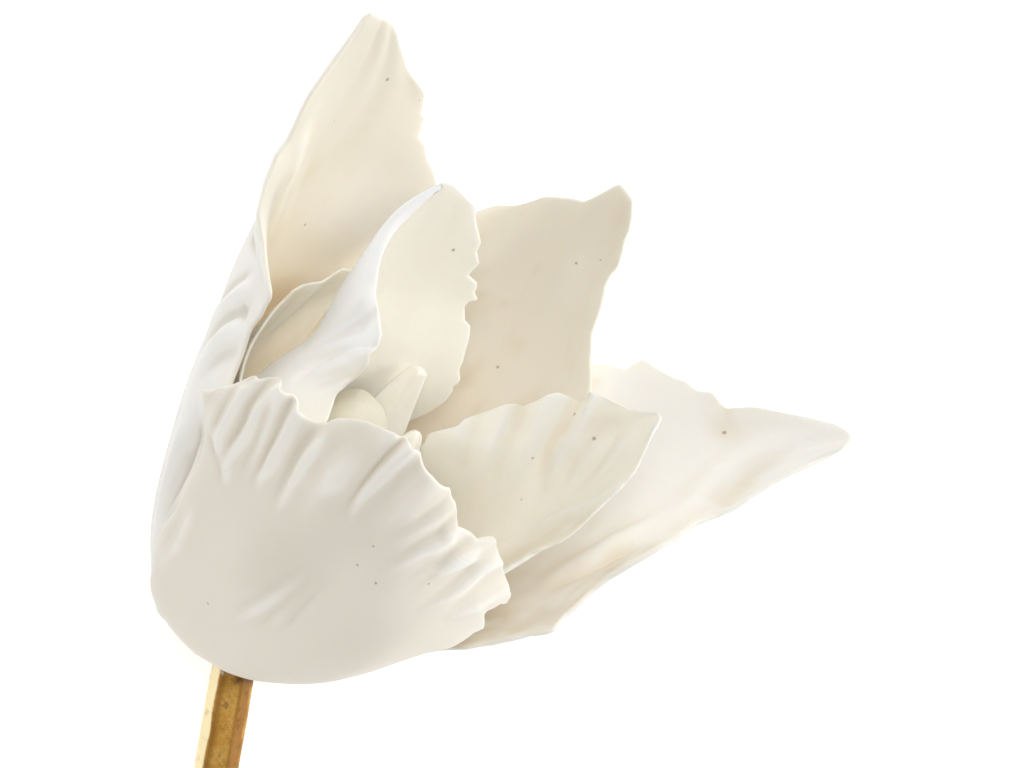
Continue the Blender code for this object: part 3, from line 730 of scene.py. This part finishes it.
nearPetal = {
    "left": [(5, 4.4, 2.4), (8.5, 7.5, 11), (10.5, 8, 22), (9.3, 4.5, 33), (15, 9, 39.3), (23, 12, 44.8),
             (31.5, 7, 50.5)],
    "rib": [(6.8, 0.8, 2.2), (13, 1.5, 11), (19.5, 3, 21), (24, 4, 30), (27, 5, 38), (30, 5.5, 45.5),
            (32.5, 6, 51)],
    "right": [(6.2, -2.6, 2.4), (13, -6, 12), (20, -8, 22), (25, -7, 31), (29, -5.5, 37.5),
              (32.3, -1.5, 45),
              (32.3, 4.5, 50.5)],
    "outsideTone": (0.87, 0.85, 0.79, 1), "insideTone": (0.945, 0.915, 0.825, 1), "paintedShadeShare": 0.1,
    "rimShare": 0.1,
    "tanWash": [(0.7, 1.0, 0.05, 0.2, 0.4), (0.6, 0.85, 0.06, 0.28, 0.3), (0.5, 0.68, 0.08, 0.3, 0.3),
                (0.42, 0.5, 0.09, 0.3, 0.3), (0.84, -0.42, 0.06, 0.2, 0.22),
                (0.76, -0.55, 0.06, 0.1, 0.15)],
    "whiteWash": [(0.83, 0.92, 0.04, 0.16, 0.9), (0.77, 0.8, 0.045, 0.14, 0.9),
                  (0.7, 0.65, 0.045, 0.13, 0.9),
                  (0.63, 0.48, 0.045, 0.12, 0.7), (0.56, 0.34, 0.04, 0.1, 0.5)],
    "fold": 2.0, "outward": -1, "rows": 170, "columns": 160, "seed": 453,
    "thick": 1.0, "thin": 0.35, "torn": (0.4, 0.7, 0.2), "ruffles": 9, "ruffleDepth": 0.4, "dents": 0.25,
    "leftEdge": [
        (0.45, 0), (0.533, -0.04), (0.584, -0.01), (0.607, -0.04), (0.692, -0.04), (0.712, -0.02),
        (0.715, 0.03), (0.793, 0), (0.81, 0.05), (0.819, 0.11), (0.835, 0.03), (0.854, -0.01),
        (0.888, -0.13), (0.905, -0.17), (0.914, 0.02), (0.935, 0.25), (0.972, 0.5), (1, 0.6)],
    "pleatShare": 1.8,
    "pleats": [
        ([(0.598, -1.01), (0.558, -0.906), (0.515, -0.832)], 1.3, -0.3),
        ([(0.689, -1.018), (0.632, -0.844), (0.582, -0.732), (0.53, -0.647), (0.482, -0.601)], 1.0, -0.5),
        ([(0.765, -0.964), (0.691, -0.705), (0.647, -0.612), (0.603, -0.52), (0.558, -0.431),
          (0.508, -0.315)], 1.2, -0.6),
        ([(0.881, -1.08), (0.799, -0.608), (0.737, -0.431), (0.689, -0.35), (0.64, -0.214),
          (0.595, -0.126)], 1.1, -0.7),
        ([(0.827, -0.207), (0.768, -0.118), (0.712, -0.056), (0.661, 0.025), (0.609, 0.056)], 0.9, -0.22),
        ([(0.908, -0.041), (0.833, 0.137), (0.771, 0.249), (0.709, 0.288), (0.641, 0.284)], 1.1, -0.28),
        ([(0.5, 0.25), (0.56, 0.34), (0.63, 0.47), (0.7, 0.64), (0.78, 0.81), (0.86, 0.96)], 0.9, -0.35),
    ],
    "specks": [(0.785, -0.686, 0.2), (0.78, -0.292, 0.24), (0.63, -0.485, 0.14), (0.545, -0.23, 0.08)],
}
makePetal("inner_petal_right", nearPetal)

foldedPetal = {
    "left": [(-2.4, -6.4, 2.4), (-4.5, -9.5, 12), (-3, -12, 24), (-3, -15, 36), (-2, -14.5, 46),
             (-1.5, -12, 54),
             (-5, -1, 59.5), (-3, 4.5, 66)],
    "rib": [(-6.2, -3, 2.2), (-8.5, -4, 12), (-9.8, -4.8, 24), (-11, -5, 36), (-7.3, -4.5, 45),
            (-7, -2, 52.5),
            (-5.3, 2, 61), (-2, 5, 66.5)],
    "right": [(-6.6, 2, 2.4), (-7.5, 7.5, 12), (-3, 11.5, 22.5), (7, 10.5, 32.5), (8.8, 11, 41),
              (6.4, 11, 49),
              (4, 9, 58), (0.5, 6.5, 65.3)],
    "outsideTone": (0.985, 0.985, 0.97, 1), "insideTone": (0.905, 0.87, 0.765, 1), "paintedShadeShare": 0.1,
    "valleyShadeScale": 0.4,
    "whiteWash": [(0.5, 0.62, 0.1, 0.3, 0.8), (0.47, 0.1, 0.1, 0.6, 1.0)],
    "fold": 1.0, "outward": -1, "rows": 200, "columns": 140, "seed": 567,
    "thick": 1.1, "thin": 0.55, "torn": (0.2, 0.45, 0.3), "ruffles": 12, "ruffleDepth": 0.25, "dents": 0.2,
    "rightEdge": [
        (0.4, 0), (0.502, -0.02), (0.55, -0.02), (0.572, 0.01), (0.683, -0.01), (0.689, 0.02),
        (0.72, 0.02), (0.735, 0), (0.746, -0.06), (0.76, -0.03), (0.773, -0.04), (0.786, -0.03),
        (0.79, 0.03), (0.805, 0.03), (0.834, -0.02), (0.862, 0.01), (0.893, -0.04), (0.955, 0), (1, 0)],
    "topEdge": [
        (-1, 0.005), (0.195, 0.008), (0.635, 0.016), (0.89, 0.025), (1, 0.03)],
    "leftEdge": [
        (0.45, -0.03), (0.507, -0.03), (0.552, 0.03), (0.65, -0.06), (0.711, -0.05), (0.756, 0.14),
        (0.796, 0.21), (0.824, 0.2), (0.908, 0), (1, 0)],
    "pleatShare": 1.15,
    "pleats": [
        ([(0.762, -0.825), (0.732, -0.767), (0.697, -0.689), (0.652, -0.601), (0.607, -0.504),
          (0.559, -0.384)], 0.9, 0.7),
        ([(0.722, -0.906), (0.669, -0.802), (0.616, -0.689), (0.562, -0.589)], 1.3, -0.5),
        ([(0.672, -0.929), (0.643, -0.825), (0.609, -0.724), (0.572, -0.643), (0.532, -0.581),
          (0.498, -0.589)], 0.9, 0.7),
        ([(0.672, -0.991), (0.646, -0.883), (0.613, -0.79), (0.565, -0.682), (0.528, -0.643)], 0.5, -0.4),
        ([(0.64, -0.975), (0.596, -0.863), (0.552, -0.759), (0.518, -0.72)], 0.9, 0.6),
    ],
    "specks": [(0.837, 0.751, 0.2)],
}
makePetal("inner_petal_left", foldedPetal)

smallPetal = {
    "left": [(-8, -2.4, 1.4), (-11, -5, 12), (-11.4, -6.4, 22), (-12.7, -8.4, 30), (-13.3, -9.3, 37.3)],
    "rib": [(-8.6, 0.8, 1.2), (-12.8, 2, 11), (-15.2, 2.5, 22), (-15.0, 2, 34), (-13.2, -1, 44.8)],
    "right": [(-7.6, 4, 1.4), (-10.8, 8.6, 11), (-11, 13, 22), (-9, 14.5, 35), (-6.8, 11, 47)],
    "outsideTone": (0.87, 0.85, 0.79, 1), "insideTone": (0.965, 0.935, 0.83, 1), "paintedShadeShare": 0.15,
    "tanWash": [(0.62, 0.7, 0.17, 0.9, 0.65), (0.5, -0.5, 0.25, 0.6, 0.6)], "rimShare": 0.05,
    "fold": 2.0, "outward": -1, "rows": 130, "columns": 110, "seed": 671,
    "thick": 0.9, "thin": 0.3, "torn": (0.3, 0.3, 0.35), "ruffles": 6, "ruffleDepth": 0.25, "dents": 0.2,
    "topEdge": [
        (-1, 0), (0.048, -0.001), (0.091, -0.026), (0.253, -0.018), (0.527, -0.018), (0.605, -0.035),
        (0.666, -0.041), (0.774, -0.023), (0.852, -0.021), (1, 0)],
    "leftEdge": [(0.4, 0), (0.6, 0.16), (0.85, 0.12), (1, 0)],
    "pleats": [
        ([(1, 0.45), (0.85, 0.35), (0.7, 0.3)], 1.2, -0.4),
    ],
    "specks": [],
}
makePetal("inner_petal_small", smallPetal)


shade = {
    # Every how many grid points the petals are tried, and how coarse they are as obstacles
    "every": 6, "coarse": 8,
    "rays": 28, "start": 1.2, "reach": 60, "lobe": 1.02, "seed": 90,
}


def coarsePetals():
    corners, faces = [], []
    for mesh, points, normal, row, column, second in sheets:
        coarse = points[::shade["coarse"], ::shade["coarse"]]
        high, wide = coarse.shape[:2]
        index = np.arange(high * wide).reshape(high, wide) + len(corners)
        corners.extend(coarse.reshape(-1, 3).tolist())
        around = [index[:-1, :-1], index[:-1, 1:], index[1:, 1:], index[1:, :-1]]
        faces.extend(np.stack(around, -1).reshape(-1, 4).tolist())
    return BVHTree.FromPolygons(corners, faces)


def normed(rows):
    return rows / np.linalg.norm(rows, axis=1, keepdims=True)


def shelterPetals():
    # How much of the room over each place is closed off by petals, from 0 to 1: tried on every few points.
    # The porcelain paints warm shade where it is high
    tree = coarsePetals()
    random = np.random.default_rng(shade["seed"])
    for mesh, points, normal, row, column, second in sheets:
        high, wide = points.shape[:2]
        rows, columns = np.arange(0, high, shade["every"]), np.arange(0, wide, shade["every"])
        fields = []
        for side in (-1, 1):
            start = points[np.ix_(rows, columns)].reshape(-1, 3)
            out = normal[np.ix_(rows, columns)].reshape(-1, 3) * side
            closed = np.zeros(len(start))
            for ray in range(shade["rays"]):
                towards = normed(out * shade["lobe"] + normed(random.normal(size=out.shape)))
                for place in range(len(start)):
                    above = start[place] + out[place] * shade["start"]
                    closed[place] += tree.ray_cast(above, towards[place], shade["reach"])[0] is not None
            coarse = (closed / shade["rays"]).reshape(len(rows), len(columns))
            tall = np.array([np.interp(np.arange(high), rows, line) for line in coarse.T]).T
            fields.append(np.array([np.interp(np.arange(wide), columns, line) for line in tall]))
        keepField(mesh, "shelter", np.where(second, fields[1][row, column], fields[0][row, column]))
    print("shelter found")


shelterPetals()


# Heart of the bloom

heart = {"cloudNoise": (220, 3, 0.55), "cloudFade": (0.35, 0.7), "segments": 96}


def turnedBody(segments, rings, shape):
    # Closed body from a sphere: shape(share, azimuth, pole) gives x, y, z in mm, share from foot to top
    builder = bmesh.new()
    bmesh.ops.create_uvsphere(builder, u_segments=segments, v_segments=rings, radius=1)
    for vertex in builder.verts:
        share = math.acos(max(-1, min(1, -vertex.co.z))) / math.pi
        azimuth = math.atan2(vertex.co.y, vertex.co.x)
        pole = math.hypot(vertex.co.x, vertex.co.y) < 1e-4
        vertex.co = Vector(shape(share, azimuth, 0 if pole else 1))
    return builder


def finishPiece(name, builder, material, place):
    for face in builder.faces:
        face.smooth = True
    bmesh.ops.scale(builder, verts=builder.verts, vec=(mm, mm, mm))
    bmesh.ops.transform(builder, verts=builder.verts, matrix=place)
    mesh = bpy.data.meshes.new(name + "_form")
    builder.to_mesh(mesh)
    builder.free()
    mesh.materials.append(material)
    showPiece(mesh, name + "_form", name)


def heartPiece(name, builder, settings):
    # Cloudy porcelain of two tones, set one by one for each piece: partly the clay's own tone and partly
    # painted light and shade, the pistil darker and the stamens paler than the clay alone
    material, shader, wire = startMaterial(name + "_porcelain")
    place = wire.objectPlace()
    cloud = place.noise(*heart["cloudNoise"]).rise(*heart["cloudFade"])
    bisque(shader, place, cloud.blend(settings["tone"], settings["paler"]), heartGrain)
    finishPiece(name, builder, material, bloomPlace)


receptacle = {
    "radius": 7.0, "top": 3.0, "bottom": -2.2, "roundness": 0.7, "lobes": 5, "lobeDepth": 0.02, "rings": 40,
    "tone": (0.8, 0.78, 0.73, 1), "paler": (0.88, 0.83, 0.72, 1),
}


def receptacleShape(share, azimuth, pole):
    angle = math.pi * share
    lobes = 1 + receptacle["lobeDepth"] * math.sin(receptacle["lobes"] * azimuth)
    radius = receptacle["radius"] * math.sin(angle) ** receptacle["roundness"] * lobes * pole
    middle = (receptacle["top"] + receptacle["bottom"]) / 2
    half = (receptacle["top"] - receptacle["bottom"]) / 2
    return radius * math.cos(azimuth), radius * math.sin(azimuth), middle - half * math.cos(angle)


body = turnedBody(heart["segments"], receptacle["rings"], receptacleShape)
heartPiece("receptacle", body, receptacle)

pistil = {
    "foot": 3.3, "top": 38.5, "radius": 2.4, "lean": (0.6, -1.2), "rings": 90,
    "columnEnd": 0.8, "columnRise": 6,
    "stigma": 3.7, "stigmaDown": 3.6, "stigmaHalf": 3.8, "lobes": 3, "lobeDepth": 0.10,
    "tone": (0.75, 0.71, 0.59, 1), "paler": (0.80, 0.76, 0.65, 1),
}


def pistilShape(share, azimuth, pole):
    tall = pistil["top"] - pistil["foot"]
    height = pistil["foot"] + tall * (1 - math.cos(math.pi * share)) / 2
    column = pistil["radius"] * min(1, pistil["columnRise"] * math.sin(math.pi * share))
    column = column if share < pistil["columnEnd"] else 0
    away = (height - pistil["top"] + pistil["stigmaDown"]) / pistil["stigmaHalf"]
    lobes = 1 + pistil["lobeDepth"] * math.cos(pistil["lobes"] * azimuth)
    radius = max(column, pistil["stigma"] * max(0, 1 - away ** 2) ** 0.5 * lobes) * pole
    rise = (height - pistil["foot"]) / tall
    return (radius * math.cos(azimuth) + pistil["lean"][0] * rise,
            radius * math.sin(azimuth) + pistil["lean"][1] * rise, height)


body = turnedBody(heart["segments"], pistil["rings"], pistilShape)
heartPiece("pistil", body, pistil)

stamens = {
    # Each one's direction in degrees, its top and how far it leans out
    "each": [(78, 38.0, 4.0), (130, 41.5, 2.8), (182, 28.5, 1.0), (236, 25.0, 0.6), (290, 29.0, 1.2),
             (340, 32.0, 2.0)],
    "footRadius": 4.0, "foot": 3.9, "antherLength": 12.0, "antherWidth": 3.7, "antherDepth": 2.4,
    "filament": 1.8, "filamentRise": 4, "grooveDepth": 0.05, "groovePower": 8,
    "segments": 48, "rings": 90, "tone": (0.97, 0.94, 0.86, 1), "paler": (0.93, 0.89, 0.79, 1),
}


def stamenShape(azimuthOut, top, lean):
    turn = math.radians(azimuthOut)
    halfLength, halfWidth = stamens["antherLength"] / 2, stamens["antherWidth"] / 2

    def shape(share, azimuth, pole):
        height = stamens["foot"] + (top - stamens["foot"]) * (1 - math.cos(math.pi * share)) / 2
        middle = top - halfLength
        filament = stamens["filament"] / 2 * min(1, stamens["filamentRise"] * math.sin(math.pi * share))
        filament = filament if height < middle else 0
        swell = max(0, 1 - ((height - middle) / halfLength) ** 2) ** 0.5
        groove = 1 - stamens["grooveDepth"] * math.cos(2 * azimuth) ** stamens["groovePower"]
        wide = halfWidth * abs(math.cos(azimuth)) + stamens["antherDepth"] / 2 * abs(math.sin(azimuth))
        radius = max(filament, wide * swell * groove) * pole
        rise = (height - stamens["foot"]) / (top - stamens["foot"])
        x = radius * math.cos(azimuth)
        y = radius * math.sin(azimuth) - stamens["footRadius"] - lean * rise
        return x * math.cos(turn) - y * math.sin(turn), x * math.sin(turn) + y * math.cos(turn), height

    return shape


# The second stamen is a broad flat blade: height, left and right side, distance back, thickness in mm
blade = {
    "rows": [
        (3.9, 2.3, 3.8, 2.6, 1.6), (20, 2.9, 4.5, 3.3, 1.7), (28, 2.8, 5.4, 3.7, 1.9),
        (31, 1.7, 6.4, 3.9, 2.0), (34, 1.0, 6.5, 4.0, 2.0), (36.5, 1.5, 6.2, 4.1, 1.9),
        (38.5, 2.1, 6.0, 4.2, 1.7), (40.3, 2.8, 5.8, 4.3, 1.5), (41.6, 3.3, 5.7, 4.4, 1.3),
        (42.3, 3.6, 5.6, 4.4, 1.1)],
    "ribHeight": 0.35, "ribBreadth": 0.35, "endRise": 5,
}


def bladeShape(share, azimuth, pole):
    heights, *sides = zip(*blade["rows"])
    height = heights[0] + (heights[-1] - heights[0]) * (1 - math.cos(math.pi * share)) / 2
    left, right, back, thickness = (np.interp(height, heights, side) for side in sides)
    closing = min(1, blade["endRise"] * math.sin(math.pi * share)) ** 0.5 * pole
    half = (right - left) / 2 * closing
    rib = blade["ribHeight"] * math.exp(-(math.cos(azimuth) / blade["ribBreadth"]) ** 2) * closing
    return (float((left + right) / 2 + half * math.cos(azimuth)),
            float(back + (thickness / 2 * closing + rib) * math.sin(azimuth)), float(height))


for number, (azimuthOut, top, lean) in enumerate(stamens["each"], 1):
    shape = bladeShape if number == 2 else stamenShape(azimuthOut, top, lean)
    body = turnedBody(stamens["segments"], stamens["rings"], shape)
    heartPiece(f"stamen_{number}", body, stamens)


# Gilded rod: lengths are in mm, and places across it run from -1 on the left to 1 on the right

rod = {
    "sides": 6, "width": 5.6, "length": lie["stemLength"], "bevel": 0.45, "rimBevel": 0.35, "rimAngle": 1.2,
    "rings": 240, "shift": 0.2, "turn": 30, "flatten": 0.92, "seed": 5,
    "swell": 0.010, "waves": (3.1, 7.3, 1.3),
    "gold": (0.52, 0.25, 0.03, 1), "pale": (0.64, 0.38, 0.09, 1), "reflectedLight": (1.0, 0.86, 0.52, 1),
    "brown": (0.33, 0.15, 0.025, 1), "umber": (0.16, 0.07, 0.02, 1), "slip": (0.84, 0.74, 0.58, 1),
    "wideNoise": (260, 4, 0.6), "fineNoise": (1500, 4, 0.65), "spotNoise": (700, 5, 0.7), "wander": 0.25,
    "reflectedLightEdge": (-0.60, -0.52), "bevelReflectionStart": (-0.58, -0.50), "bevelReflectionEnd": (-0.36, -0.12),
    "rightReflectionStart": (0.36, 0.55), "rightReflectionEnd": (0.84, 0.95),
    "wornSpots": (0.54, 0.66), "wornPatches": (0.35, 0.6), "palePatches": (0.35, 0.65), "grain": (0.4, 0.75),
    "slipFade": (-5.4, -3.9), "slipWander": 6, "slipShare": 0.8,
    "shadowUnderBloomFade": (-6.1, -5.2), "shadowUnderBloomSide": (0.0, 0.35), "shadowUnderBloomShare": 0.85,
    "roughness": 0.34, "metal": 0.35, "bump": 0.8, "specular": 0.25,
}


def gilding(name):
    # Gold leaf: mottled gold with brown grain, worn umber spots and slip under the bloom; over these, a
    # painted reflection of light on the narrow left face, painted dark reflections along the left bevel and
    # over the right face, and painted shadow under the bloom
    material, shader, wire = startMaterial(name)
    place = wire.objectPlace()
    lay = wire.vectorField("rod")
    wide = place.noise(*rod["wideNoise"])
    fine = place.noise(*rod["fineNoise"])
    spots = place.noise(*rod["spotNoise"])
    across = lay.part(0) + (wide - 0.5) * rod["wander"]
    along = lay.part(1)
    # Painted reflection: the narrow left face is made bright as if it mirrored the light
    reflectedLight = 1 - across.rise(*rod["reflectedLightEdge"])
    # Painted dark reflections: brown along the left bevel and over the right face, as if they mirrored the
    # dark room
    bevelDarkReflection = across.rise(*rod["bevelReflectionStart"]) * (1 - across.rise(*rod["bevelReflectionEnd"]))
    rightDarkReflection = across.rise(*rod["rightReflectionStart"]) * (1 - across.rise(*rod["rightReflectionEnd"]))
    worn = spots.rise(*rod["wornSpots"]) * wide.rise(*rod["wornPatches"])
    color = wide.rise(*rod["palePatches"]).blend(rod["gold"], rod["pale"])
    color = (fine.rise(*rod["grain"]) * 0.5).blend(color, rod["brown"])
    color = (bevelDarkReflection * (0.45 + 0.5 * fine)).blend(color, rod["brown"])
    color = (rightDarkReflection * (0.65 + 0.6 * spots)).blend(color, rod["brown"])
    color = (reflectedLight * (1 - 0.35 * worn)).blend(color, rod["reflectedLight"])
    color = (worn * (1 - reflectedLight) * 0.6).blend(color, rod["umber"])
    slip = (along + (spots - 0.5) * rod["slipWander"]).rise(*rod["slipFade"])
    color = (slip * rod["slipShare"]).blend(color, rod["slip"])
    # Painted shadow: umber on the right side of the rod just under the bloom
    shadowUnderBloom = (along + (fine - 0.5) * 1.0).rise(*rod["shadowUnderBloomFade"]) * lay.part(0).rise(*rod["shadowUnderBloomSide"])
    color = (shadowUnderBloom * rod["shadowUnderBloomShare"]).blend(color, rod["umber"])
    feed(shader, "Base Color", color)
    feed(shader, "Roughness", fine * 0.25 + worn * 0.3 + rod["roughness"])
    feed(shader, "Metallic", (1 - slip) * (1 - worn) * rod["metal"])
    roughen(shader, fine * 0.04 + wide * 0.12 + spots * 0.06, rod["bump"])
    setSockets(shader, {"Specular IOR Level": rod["specular"]})
    return material


def edgesOver(builder, length):
    return [edge for edge in builder.edges if abs(edge.verts[0].co.z - edge.verts[1].co.z) > length]


def bevelEdges(builder, edges, offset, segments):
    bmesh.ops.bevel(
        builder, geom=edges, offset=offset, segments=segments, profile=0.5, affect="EDGES", material=-1)


def makeRod():
    builder = bmesh.new()
    width = rod["width"] / 2
    bmesh.ops.create_cone(
        builder, cap_ends=True, segments=rod["sides"], radius1=width, radius2=width, depth=rod["length"])
    bevelEdges(builder, edgesOver(builder, 1), rod["bevel"], 4)
    rims = [edge for edge in builder.edges if edge.calc_face_angle(0) > rod["rimAngle"]]
    bevelEdges(builder, rims, rod["rimBevel"], 3)
    longEdges = edgesOver(builder, rod["length"] / 2)
    bmesh.ops.subdivide_edges(builder, edges=longEdges, cuts=rod["rings"], use_grid_fill=True)
    turn = Matrix.Rotation(math.radians(rod["turn"]), 3, "Z")
    bmesh.ops.rotate(builder, verts=builder.verts, matrix=turn)
    bmesh.ops.translate(builder, verts=builder.verts, vec=(0, 0, -rod["length"] / 2))
    lay = builder.verts.layers.float_vector.new("rod")
    start = np.random.default_rng(rod["seed"]).uniform(0, 2 * math.pi, 3)
    slow, slower, quick = rod["waves"]
    for vertex in builder.verts:
        x, y, z = vertex.co
        angle = math.atan2(y, x)
        vertex[lay] = (x / width, z, y / width)
        swell = (math.sin(z / slow + start[0] + 2 * angle) + math.sin(z / slower + start[1] - angle)
                 + 0.6 * math.sin(z / quick + start[2] + 3 * angle)) * rod["swell"]
        vertex.co.x = x * (1 + swell) + rod["shift"]
        vertex.co.y = y * (1 + swell) * rod["flatten"]
    return builder


finishPiece("stem", makeRod(), gilding("gold_leaf"), stemPlace)


# Studio: six soft lights round the flower, each with its place and breadth in mm and its strength in watts

studio = {
    "cameraFromBloom": (33.187, 30.28, 908.4),
    "lens": 263.67, "sensor": 36, "clipEnd": 20,
    "floorHalf": 3000, "floorDrop": 0.25,
    "floorSockets": {
        "Base Color": (0.93, 0.93, 0.92, 1), "Roughness": 0.9, "Specular IOR Level": 0.0,
        "Emission Color": (1, 1, 1, 1), "Emission Strength": 0.5,
    },
    "airSockets": {"Color": (1.0, 1.0, 1.0, 1), "Strength": 0.125},
    "lights": [
        ("left_soft", (-800, 150, 300), 600, 1.55),
        ("far_soft", (0, 850, 350), 600, 1.7),
        ("near_soft", (200, -850, 300), 600, 1.95),
        ("front_soft", (150, 250, 1000), 400, 4.5),
        ("right_low", (900, 100, 120), 400, 4.4),
        ("left_near", (-600, -500, 400), 600, 0.75),
    ],
}


def makeFloor():
    builder = bmesh.new()
    bmesh.ops.create_grid(builder, x_segments=1, y_segments=1, size=studio["floorHalf"] * mm)
    bmesh.ops.translate(builder, verts=builder.verts, vec=(0, 0, -studio["floorDrop"] * mm))
    mesh = bpy.data.meshes.new("floor")
    builder.to_mesh(mesh)
    builder.free()
    material, shader, wire = startMaterial("floor_paper")
    setSockets(shader, studio["floorSockets"])
    mesh.materials.append(material)
    floor = bpy.data.objects.new("floor", mesh)
    bpy.context.scene.collection.objects.link(floor)


def makeLights():
    world = bpy.data.worlds.new("studio_air")
    bpy.context.scene.world = world
    world.use_nodes = True
    setSockets(world.node_tree.nodes["Background"], studio["airSockets"])
    for name, place, size, power in studio["lights"]:
        light = bpy.data.lights.new(name, "AREA")
        light.shape = "DISK"
        light.size = size * mm
        light.energy = power
        holder = bpy.data.objects.new(name, light)
        holder.location = Vector(place) * mm
        towards = bloomFoot - holder.location
        holder.rotation_euler = towards.to_track_quat("-Z", "Y").to_euler()
        bpy.context.scene.collection.objects.link(holder)


def makeCamera():
    camera = bpy.data.cameras.new("camera")
    camera.lens = studio["lens"]
    camera.sensor_width = studio["sensor"]
    camera.sensor_fit = "HORIZONTAL"
    camera.clip_end = studio["clipEnd"]
    holder = bpy.data.objects.new("camera", camera)
    holder.location = bloomFoot + Vector(studio["cameraFromBloom"]) * mm
    bpy.context.scene.collection.objects.link(holder)
    bpy.context.scene.camera = holder


makeFloor()
makeLights()
makeCamera()
view = bpy.context.scene.view_settings
view.view_transform = "Standard"
view.look = "None"
view.exposure = 0.0
view.gamma = 1.0
print("studio ready")
